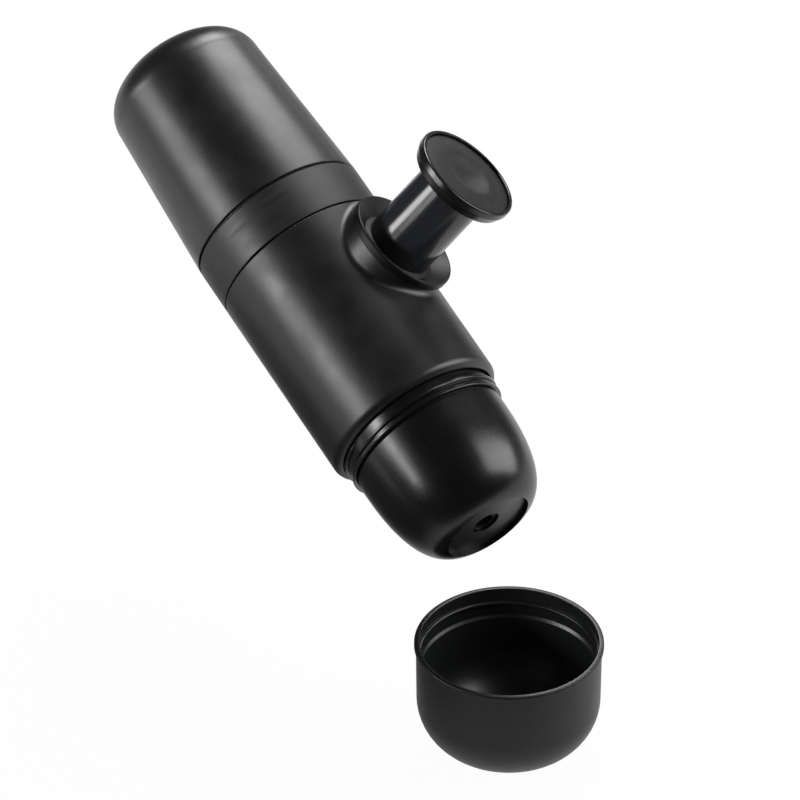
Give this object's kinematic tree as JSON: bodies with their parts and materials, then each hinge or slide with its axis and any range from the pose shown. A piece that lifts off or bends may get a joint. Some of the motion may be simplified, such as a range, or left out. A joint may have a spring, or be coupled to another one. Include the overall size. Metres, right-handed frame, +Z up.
{
  "type": "handheld manual espresso maker",
  "caption": "Handheld manual espresso maker with a side hand pump, screwed water tank, rounded outlet head and a separate round-bottomed cup.",
  "frame": {"origin": "centre of the drinking cup's foot, on the table", "axes": "+Z up; the maker's axis lies in the XZ plane and leans 65.2 degrees from the vertical, its tank towards -X and its outlet towards +X, over the cup"},
  "size_m": [0.2264, 0.0788, 0.1791],
  "materials": {
    "housing_plastic": "satin black moulded plastic",
    "tank_plastic": "satin black moulded plastic",
    "collar_plastic": "matt black moulded plastic",
    "head_plastic": "satin black moulded plastic, recess matt",
    "neck_plastic": "black moulded plastic, moulded thread",
    "cup_plastic": "satin black outside, glossy inside",
    "gland_plastic": "satin black moulded plastic",
    "sleeve_gloss": "glossy black",
    "knob_gloss": "glossy black",
    "knob_pad": "matt dark grey, dished",
    "inner_plastic": "dark grey engineering plastic",
    "bush_plastic": "pale bearing plastic",
    "spout_plastic": "black moulded plastic",
    "seal_rubber": "black silicone",
    "valve_rubber": "clear silicone",
    "steel": "stainless steel",
    "screen_steel": "perforated stainless steel"
  },
  "bodies": {
    "main_body": {"main_housing": "housing_plastic", "tank_collar": "collar_plastic", "pump_frame": "inner_plastic", "frame_seal": "seal_rubber", "inlet_strainer": "screen_steel", "vent_valve": "valve_rubber", "tie_screws": "steel", "pump_barrel": "inner_plastic", "valve_block": "inner_plastic", "inlet_valve_seat": "bush_plastic", "inlet_spring": "steel", "outlet_spring": "steel", "outlet_retainer": "bush_plastic", "piston_collar": "gland_plastic", "rod_bush": "bush_plastic", "wiper_seal": "seal_rubber", "piston_spring": "steel", "group_head": "neck_plastic", "group_gasket": "seal_rubber", "shower_screen": "screen_steel", "screen_screw": "steel"},
    "piston_ring": {"plunger_seal": "seal_rubber"},
    "piston": {"piston_sleeve": "sleeve_gloss", "plunger": "inner_plastic", "knob": "knob_gloss", "knob_pad": "knob_pad", "knob_screw": "steel"},
    "inlet_ball": {"inlet_ball": "steel"},
    "outlet_ball": {"outlet_ball": "steel"},
    "tank_ring": {"tank_gasket": "seal_rubber"},
    "tank": {"water_tank": "tank_plastic"},
    "head_ring": {"head_seal": "seal_rubber"},
    "head": {"outlet_head": "head_plastic", "spout_insert": "spout_plastic"},
    "basket": {"filter_basket": "steel", "basket_screen": "screen_steel"},
    "cup": {"drinking_cup": "cup_plastic"}
  },
  "joints": [
    {"name": "piston_stroke", "type": "slide", "parent": "main_body", "child": "piston_ring", "axis": [-0.3636, -0.4985, -0.7869], "range_m": [0, 0.0255], "stiffness_N_per_m": 300, "springref_m": -0.02, "deforming": ["piston_spring"]},
    {"name": "piston_twist", "type": "hinge", "parent": "piston_ring", "child": "piston", "pos_m": [-0.09345, 0, 0.11476], "axis": [0.3636, 0.4985, 0.7869], "range_deg": [0, 90]},
    {"name": "inlet_valve", "type": "slide", "parent": "main_body", "child": "inlet_ball", "axis": [0.9078, 0, -0.4195], "range_m": [0, 0.0012], "stiffness_N_per_m": 20, "springref_m": -0.001, "deforming": ["inlet_spring"]},
    {"name": "outlet_valve", "type": "slide", "parent": "main_body", "child": "outlet_ball", "axis": [0.9078, 0, -0.4195], "range_m": [0, 0.0012], "stiffness_N_per_m": 20, "springref_m": -0.001, "deforming": ["outlet_spring"]},
    {"name": "tank_lift", "type": "slide", "parent": "main_body", "child": "tank_ring", "axis": [-0.9078, 0, 0.4195], "range_m": [0, 0.015]},
    {"name": "tank_turn", "type": "hinge", "parent": "tank_ring", "child": "tank", "pos_m": [-0.0113, 0, 0.0768], "axis": [-0.9078, 0, 0.4195], "range_deg": [0, 900]},
    {"name": "head_drop", "type": "slide", "parent": "main_body", "child": "head_ring", "axis": [0.9078, 0, -0.4195], "range_m": [0, 0.033]},
    {"name": "head_turn", "type": "hinge", "parent": "head_ring", "child": "head", "pos_m": [-0.0113, 0, 0.0768], "axis": [0.9078, 0, -0.4195], "range_deg": [0, 1320]},
    {"name": "basket_drop", "type": "slide", "parent": "main_body", "child": "basket", "axis": [0.9078, 0, -0.4195], "range_m": [0, 0.01386]},
    {"name": "cup_slide", "type": "slide", "parent": "main_body", "child": "cup", "axis": [0, -1, 0], "range_m": [0, 0.06]}
  ],
  "couplings": [
    {"joint": "tank_lift", "follows": "tank_turn", "m_per_rad": 0.00095493},
    {"joint": "head_drop", "follows": "head_turn", "m_per_rad": 0.0014324},
    {"joint": "basket_drop", "follows": "head_turn", "m_per_rad": 0.00060161}
  ]
}
